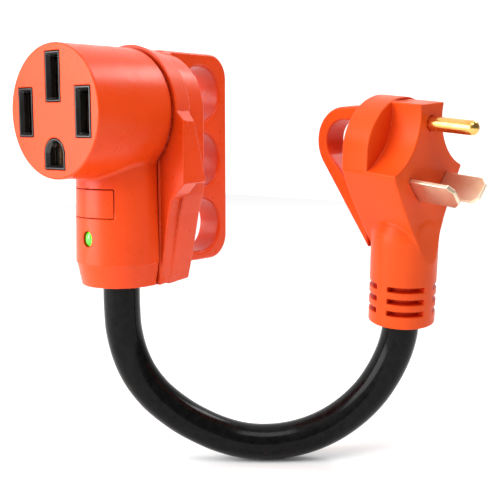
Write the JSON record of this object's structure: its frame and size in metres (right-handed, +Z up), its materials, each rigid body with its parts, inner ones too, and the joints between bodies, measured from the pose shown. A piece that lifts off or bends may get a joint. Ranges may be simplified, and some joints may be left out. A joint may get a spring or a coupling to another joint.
{
  "type": "power adapter",
  "caption": "Short power adapter: a round four-slot socket connector with a grip handle, a three-pin plug with a finger ring, and a looped cable between them.",
  "frame": {"origin": "centre of the plug's pin face", "axes": "+Z up; -Y the way the socket faces; +X completes the frame, close to the way the plug's pins point. The cable's loop stands in a plane turned 39.3 degrees about Z from XZ."},
  "size_m": [0.1675, 0.1305, 0.1843],
  "materials": {
    "socket_shell": "satin orange moulded plastic",
    "plug_shell": "satin orange moulded plastic",
    "cable_jacket": "glossy black",
    "core_black": "matt black insulation",
    "core_white": "matt white insulation",
    "core_green": "matt green insulation",
    "insulator": "matt black moulding",
    "pin_brass": "bright brass",
    "contact_nickel": "satin nickel plate",
    "fastener_steel": "zinc plated steel",
    "indicator_green": "clear green",
    "board": "green circuit board",
    "resistor": "tan lacquer"
  },
  "bodies": {
    "root": {"socket_front_housing": "socket_shell", "socket_rear_cover": "socket_shell", "neck_panel": "socket_shell", "plug_housing": "plug_shell", "plug_rear_cover": "plug_shell", "cable_jacket": "cable_jacket", "hot_core": "core_black", "neutral_core": "core_white", "ground_core": "core_green", "contact_carrier": "insulator", "blade_carrier": "insulator", "neck_cord_clamp": "insulator", "ground_pin": "pin_brass", "hot_blade": "contact_nickel", "neutral_blade": "contact_nickel", "neutral_contact": "contact_nickel", "hot_x_contact": "contact_nickel", "hot_y_contact": "contact_nickel", "ground_contact": "contact_nickel", "hot_bridge_strap": "contact_nickel", "neutral_tail_sleeve": "contact_nickel", "hot_strap_sleeve": "contact_nickel", "ground_tail_sleeve": "contact_nickel", "hot_blade_sleeve": "contact_nickel", "neutral_blade_sleeve": "contact_nickel", "ground_pin_sleeve": "contact_nickel", "cover_screw_1": "fastener_steel", "cover_screw_2": "fastener_steel", "cover_screw_3": "fastener_steel", "cover_screw_4": "fastener_steel", "neck_cord_clamp_screw_1": "fastener_steel", "neck_cord_clamp_screw_2": "fastener_steel", "plug_cover_screw_1": "fastener_steel", "plug_cover_screw_2": "fastener_steel", "jacket_ferrule": "fastener_steel", "indicator_lens": "indicator_green", "indicator_diode": "indicator_green", "indicator_board": "board", "indicator_resistor": "resistor"}
  },
  "joints": []
}
